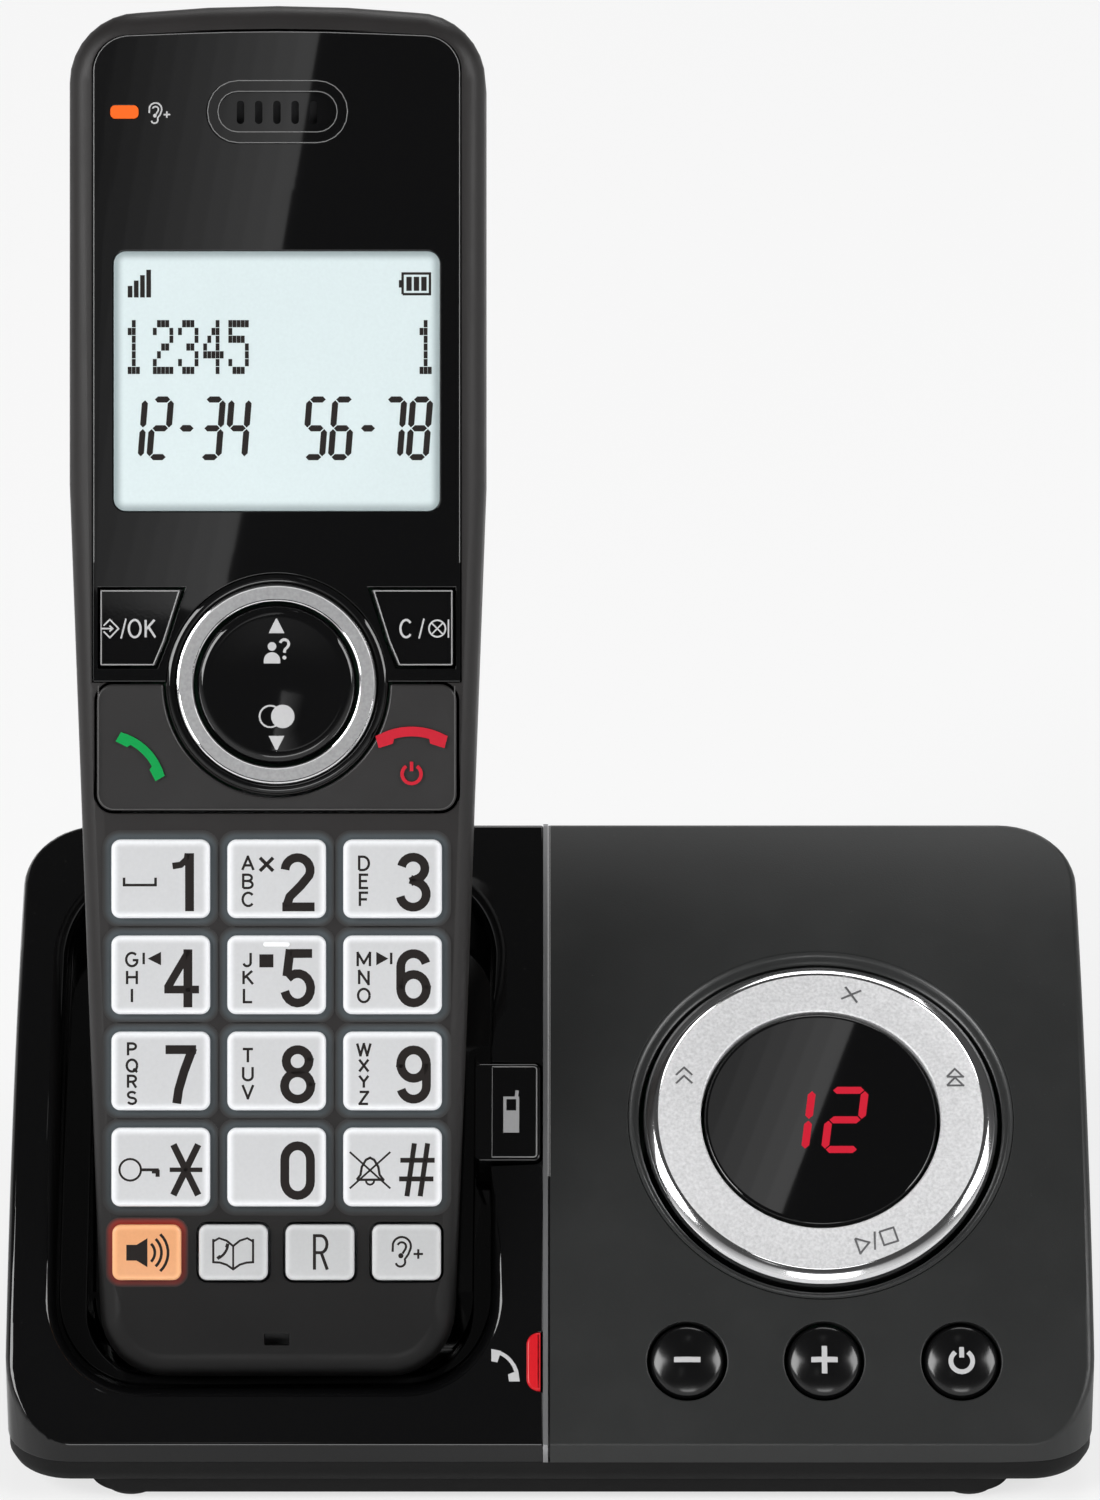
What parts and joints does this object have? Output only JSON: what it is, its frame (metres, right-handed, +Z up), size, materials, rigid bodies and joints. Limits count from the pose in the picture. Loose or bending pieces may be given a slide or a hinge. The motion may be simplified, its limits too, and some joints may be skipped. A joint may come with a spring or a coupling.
{
  "type": "cordless telephone with answering machine",
  "caption": "Cordless telephone base with a built-in answering machine and a big-key handset that stands in its cradle and lifts out.",
  "frame": {"origin": "on the table, under the middle of the whole object's box", "axes": "+X to the right as seen from the front, -Y towards the user, +Z up"},
  "size_m": [0.132, 0.0976, 0.1636],
  "materials": {
    "gloss_black": "piano-black gloss moulding",
    "satin_black": "satin black moulding",
    "housing_black": "fine-textured black moulding",
    "charcoal": "satin charcoal moulding",
    "handset_rear": "satin dark brown-grey moulding",
    "bright_ring": "satin metallised ring with bright edges",
    "bright_trim": "bright metallised trim",
    "key_white": "translucent white, backlit",
    "key_grey": "translucent light grey",
    "key_orange": "translucent orange, backlit",
    "lamp_orange": "lit orange light guide",
    "lamp_red": "lit red light guide",
    "display_glass": "clear display window",
    "display_lcd": "backlit display with dark figures",
    "rubber": "rubber foot",
    "mat_rubber": "silicone key mat",
    "board_green": "printed circuit board",
    "steel": "zinc-plated steel",
    "contact_metal": "plated spring contact",
    "part_black": "moulded component",
    "speaker_grey": "speaker with paper cone",
    "cell_green": "shrink-wrapped cells"
  },
  "bodies": {
    "base": {"cradle_cover": "gloss_black", "control_cover": "satin_black", "seam_trim": "bright_trim", "lower_housing": "housing_black", "rubber_feet": "rubber", "housing_screws": "steel", "main_board": "board_green", "key_board": "board_green", "key_switches": "part_black", "base_speaker": "speaker_grey", "line_socket": "part_black", "power_socket": "part_black", "charge_springs": "contact_metal", "display_lens": "gloss_black", "counter_display": "part_black", "message_lamp": "lamp_red"},
    "handset": {"handset_front": "charcoal", "handset_back": "handset_rear", "face_panel": "gloss_black", "display_window": "display_glass", "display_module": "display_lcd", "earpiece_cover": "gloss_black", "earpiece_speaker": "speaker_grey", "handset_lamp": "lamp_orange", "handset_board": "board_green", "keypad_mat": "mat_rubber", "nav_ring": "bright_ring", "microphone": "speaker_grey", "battery_pack": "cell_green", "battery_door": "handset_rear", "charge_plates": "contact_metal"},
    "key_1": {"key_1": "key_white"},
    "key_2": {"key_2": "key_white"},
    "key_3": {"key_3": "key_white"},
    "key_4": {"key_4": "key_white"},
    "key_5": {"key_5": "key_white"},
    "key_6": {"key_6": "key_white"},
    "key_7": {"key_7": "key_white"},
    "key_8": {"key_8": "key_white"},
    "key_9": {"key_9": "key_white"},
    "key_star": {"key_star": "key_white"},
    "key_0": {"key_0": "key_white"},
    "key_hash": {"key_hash": "key_white"},
    "speaker_key": {"speaker_key": "key_orange"},
    "book_key": {"book_key": "key_grey"},
    "recall_key": {"recall_key": "key_grey"},
    "boost_key": {"boost_key": "key_grey"},
    "ok_key": {"ok_key": "gloss_black"},
    "cancel_key": {"cancel_key": "gloss_black"},
    "nav_key": {"nav_key": "gloss_black"},
    "call_plate": {"call_plate": "charcoal"},
    "find_key": {"find_key": "gloss_black"},
    "volume_down_key": {"volume_down_key": "gloss_black"},
    "volume_up_key": {"volume_up_key": "gloss_black"},
    "power_key": {"power_key": "gloss_black"},
    "ring_carrier": {"ring_carrier": "part_black"},
    "control_ring": {"control_ring": "bright_ring"}
  },
  "joints": [
    {"name": "handset_lift", "type": "slide", "parent": "base", "child": "handset", "axis": [0, 0.4384, 0.8988], "range_m": [0, 0.08]},
    {"name": "key_1_press", "type": "slide", "parent": "handset", "child": "key_1", "axis": [0, 0.8988, -0.4384], "range_m": [0, 0.0006], "stiffness_N_per_m": 150, "springref_m": -0.002},
    {"name": "key_2_press", "type": "slide", "parent": "handset", "child": "key_2", "axis": [0, 0.8988, -0.4384], "range_m": [0, 0.0006], "stiffness_N_per_m": 150, "springref_m": -0.002},
    {"name": "key_3_press", "type": "slide", "parent": "handset", "child": "key_3", "axis": [0, 0.8988, -0.4384], "range_m": [0, 0.0006], "stiffness_N_per_m": 150, "springref_m": -0.002},
    {"name": "key_4_press", "type": "slide", "parent": "handset", "child": "key_4", "axis": [0, 0.8988, -0.4384], "range_m": [0, 0.0006], "stiffness_N_per_m": 150, "springref_m": -0.002},
    {"name": "key_5_press", "type": "slide", "parent": "handset", "child": "key_5", "axis": [0, 0.8988, -0.4384], "range_m": [0, 0.0006], "stiffness_N_per_m": 150, "springref_m": -0.002},
    {"name": "key_6_press", "type": "slide", "parent": "handset", "child": "key_6", "axis": [0, 0.8988, -0.4384], "range_m": [0, 0.0006], "stiffness_N_per_m": 150, "springref_m": -0.002},
    {"name": "key_7_press", "type": "slide", "parent": "handset", "child": "key_7", "axis": [0, 0.8988, -0.4384], "range_m": [0, 0.0006], "stiffness_N_per_m": 150, "springref_m": -0.002},
    {"name": "key_8_press", "type": "slide", "parent": "handset", "child": "key_8", "axis": [0, 0.8988, -0.4384], "range_m": [0, 0.0006], "stiffness_N_per_m": 150, "springref_m": -0.002},
    {"name": "key_9_press", "type": "slide", "parent": "handset", "child": "key_9", "axis": [0, 0.8988, -0.4384], "range_m": [0, 0.0006], "stiffness_N_per_m": 150, "springref_m": -0.002},
    {"name": "key_star_press", "type": "slide", "parent": "handset", "child": "key_star", "axis": [0, 0.8988, -0.4384], "range_m": [0, 0.0006], "stiffness_N_per_m": 150, "springref_m": -0.002},
    {"name": "key_0_press", "type": "slide", "parent": "handset", "child": "key_0", "axis": [0, 0.8988, -0.4384], "range_m": [0, 0.0006], "stiffness_N_per_m": 150, "springref_m": -0.002},
    {"name": "key_hash_press", "type": "slide", "parent": "handset", "child": "key_hash", "axis": [0, 0.8988, -0.4384], "range_m": [0, 0.0006], "stiffness_N_per_m": 150, "springref_m": -0.002},
    {"name": "speaker_key_press", "type": "slide", "parent": "handset", "child": "speaker_key", "axis": [0, 0.8988, -0.4384], "range_m": [0, 0.0006], "stiffness_N_per_m": 150, "springref_m": -0.002},
    {"name": "book_key_press", "type": "slide", "parent": "handset", "child": "book_key", "axis": [0, 0.8988, -0.4384], "range_m": [0, 0.0006], "stiffness_N_per_m": 150, "springref_m": -0.002},
    {"name": "recall_key_press", "type": "slide", "parent": "handset", "child": "recall_key", "axis": [0, 0.8988, -0.4384], "range_m": [0, 0.0006], "stiffness_N_per_m": 150, "springref_m": -0.002},
    {"name": "boost_key_press", "type": "slide", "parent": "handset", "child": "boost_key", "axis": [0, 0.8988, -0.4384], "range_m": [0, 0.0006], "stiffness_N_per_m": 150, "springref_m": -0.002},
    {"name": "ok_key_press", "type": "slide", "parent": "handset", "child": "ok_key", "axis": [0, 0.8988, -0.4384], "range_m": [0, 0.0006], "stiffness_N_per_m": 150, "springref_m": -0.002},
    {"name": "cancel_key_press", "type": "slide", "parent": "handset", "child": "cancel_key", "axis": [0, 0.8988, -0.4384], "range_m": [0, 0.0006], "stiffness_N_per_m": 150, "springref_m": -0.002},
    {"name": "nav_key_rock", "type": "hinge", "parent": "handset", "child": "nav_key", "pos_m": [-0.033, -0.00543, 0.08958], "axis": [1, 0, 0], "range_deg": [-3, 3], "stiffness_Nm_per_rad": 0.05},
    {"name": "call_plate_rock", "type": "hinge", "parent": "handset", "child": "call_plate", "pos_m": [-0.033, -0.00881, 0.08266], "axis": [0, 0.4384, 0.8988], "range_deg": [-1.5, 1.5], "stiffness_Nm_per_rad": 0.05},
    {"name": "find_key_press", "type": "slide", "parent": "base", "child": "find_key", "axis": [0, 0.5764, -0.8171], "range_m": [0, 0.0007], "stiffness_N_per_m": 150, "springref_m": -0.002},
    {"name": "volume_down_key_press", "type": "slide", "parent": "base", "child": "volume_down_key", "axis": [0, 0.7361, -0.6769], "range_m": [0, 0.0007], "stiffness_N_per_m": 150, "springref_m": -0.002},
    {"name": "volume_up_key_press", "type": "slide", "parent": "base", "child": "volume_up_key", "axis": [0, 0.7361, -0.6769], "range_m": [0, 0.0007], "stiffness_N_per_m": 150, "springref_m": -0.002},
    {"name": "power_key_press", "type": "slide", "parent": "base", "child": "power_key", "axis": [0, 0.7361, -0.6769], "range_m": [0, 0.0007], "stiffness_N_per_m": 150, "springref_m": -0.002},
    {"name": "ring_tilt_side", "type": "hinge", "parent": "base", "child": "ring_carrier", "pos_m": [0.0332, -0.01596, 0.03361], "axis": [0, 0.8151, 0.5793], "range_deg": [-2, 2], "stiffness_Nm_per_rad": 0.3},
    {"name": "ring_tilt_front", "type": "hinge", "parent": "ring_carrier", "child": "control_ring", "pos_m": [0.0332, -0.01596, 0.03361], "axis": [1, 0, 0], "range_deg": [-2, 2], "stiffness_Nm_per_rad": 0.3}
  ]
}
